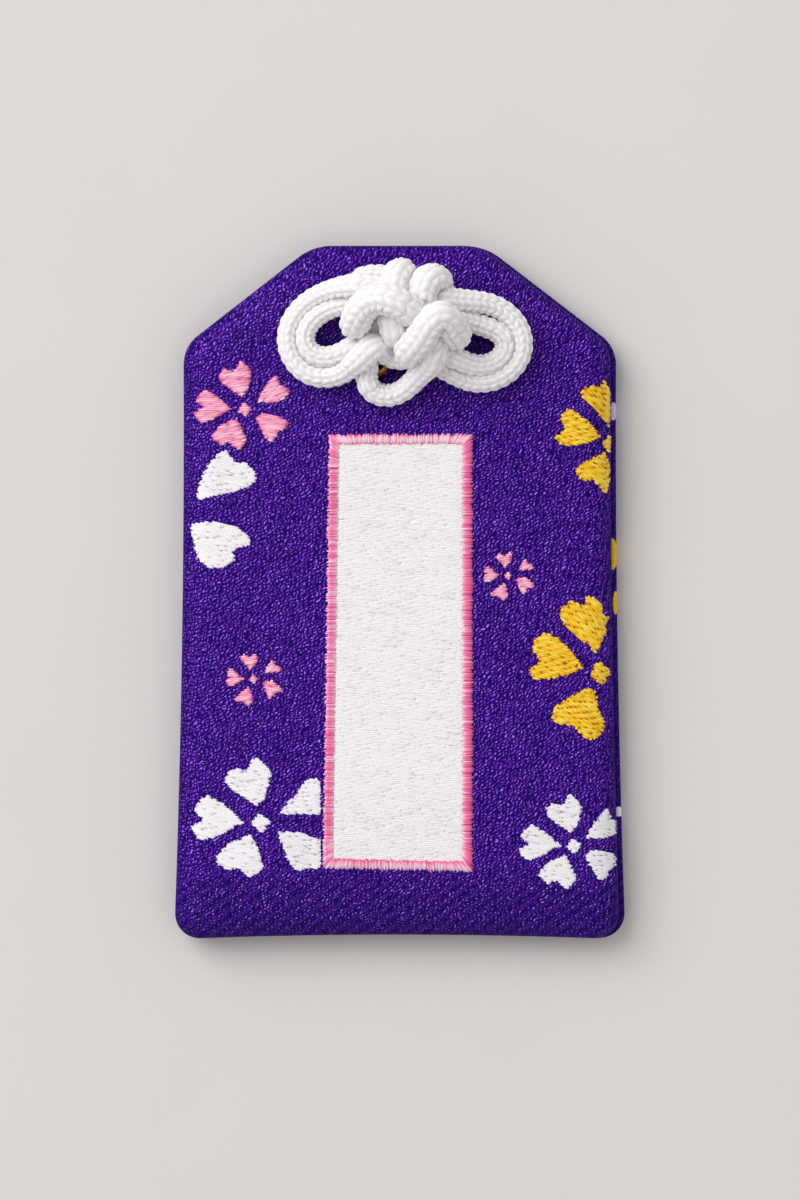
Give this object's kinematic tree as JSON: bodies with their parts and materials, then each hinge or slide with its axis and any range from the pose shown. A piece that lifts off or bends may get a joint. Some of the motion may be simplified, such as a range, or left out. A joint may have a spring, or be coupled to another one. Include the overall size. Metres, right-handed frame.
{
  "type": "omamori charm",
  "caption": "Flat padded brocade amulet pouch with sloped shoulders, embroidered blossoms and a bare bordered label, its mouth tied by an eared cord knot over two eyelets.",
  "frame": {"origin": "centre of the bounding box, on the plane of the flat back face that the charm lies on", "axes": "+X to the right seen from the front, +Y toward the knotted mouth, +Z out of the front panel"},
  "size_m": [0.0488, 0.075, 0.0152],
  "materials": {
    "purple_brocade": "crinkled satin weave",
    "purple_thread": "matt thread",
    "pink_silk": "satin stitch",
    "rose_silk": "satin stitch",
    "white_silk": "satin stitch",
    "yellow_silk": "satin stitch",
    "white_cord": "braided",
    "cotton": "plain weave",
    "wadding": "matt fibre",
    "paper": "matt paper",
    "tablet_wood": "planed",
    "gilt_brass": "polished"
  },
  "bodies": {
    "pouch": {"front_panel": "purple_brocade", "back_panel": "purple_brocade", "seam_thread": "purple_thread", "back_lining": "cotton", "front_wadding": "wadding", "left_eyelet": "gilt_brass", "right_eyelet": "gilt_brass", "left_eyelet_washer": "gilt_brass", "right_eyelet_washer": "gilt_brass", "left_cord_tail": "white_cord", "right_cord_tail": "white_cord", "tail_whipping": "white_cord", "label_ground": "white_silk", "label_border": "rose_silk", "upper_left_pink_petal_1": "pink_silk", "upper_left_pink_petal_2": "pink_silk", "upper_left_pink_petal_3": "pink_silk", "upper_left_pink_petal_4": "pink_silk", "upper_left_pink_petal_5": "pink_silk", "upper_left_pink_heart": "pink_silk", "left_edge_white_petal_1": "white_silk", "left_edge_white_petal_2": "white_silk", "lower_left_pink_petal_1": "pink_silk", "lower_left_pink_petal_2": "pink_silk", "lower_left_pink_petal_3": "pink_silk", "lower_left_pink_petal_4": "pink_silk", "lower_left_pink_petal_5": "pink_silk", "lower_left_pink_heart": "pink_silk", "lower_left_white_petal_1": "white_silk", "lower_left_white_petal_2": "white_silk", "lower_left_white_petal_3": "white_silk", "lower_left_white_petal_4": "white_silk", "lower_left_white_petal_5": "white_silk", "lower_left_white_heart": "white_silk", "upper_right_yellow_petal_1": "yellow_silk", "upper_right_yellow_petal_2": "yellow_silk", "upper_right_yellow_petal_3": "yellow_silk", "upper_right_yellow_heart": "yellow_silk", "right_yellow_petal_1": "yellow_silk", "right_yellow_petal_2": "yellow_silk", "right_yellow_petal_3": "yellow_silk", "right_yellow_heart": "yellow_silk", "middle_right_pink_petal_1": "pink_silk", "middle_right_pink_petal_2": "pink_silk", "middle_right_pink_petal_3": "pink_silk", "middle_right_pink_petal_4": "pink_silk", "middle_right_pink_petal_5": "pink_silk", "middle_right_pink_heart": "pink_silk", "lower_right_white_petal_1": "white_silk", "lower_right_white_petal_2": "white_silk", "lower_right_white_petal_3": "white_silk", "lower_right_white_petal_4": "white_silk", "lower_right_white_petal_5": "white_silk", "lower_right_white_heart": "white_silk"},
    "knot": {"knot_cord": "white_cord"},
    "tablet": {"inner_tablet": "tablet_wood", "tablet_wrapper": "paper"}
  },
  "joints": [
    {"name": "knot_lift", "type": "hinge", "parent": "pouch", "child": "knot", "pos_m": [0, 0.0363, 0.0045], "axis": [-1, 0, 0], "range_deg": [0, 20], "deforming": ["left_cord_tail", "right_cord_tail"]},
    {"name": "tablet_slide", "type": "slide", "parent": "pouch", "child": "tablet", "axis": [0, 1, 0], "range_m": [0, 0.009]}
  ]
}
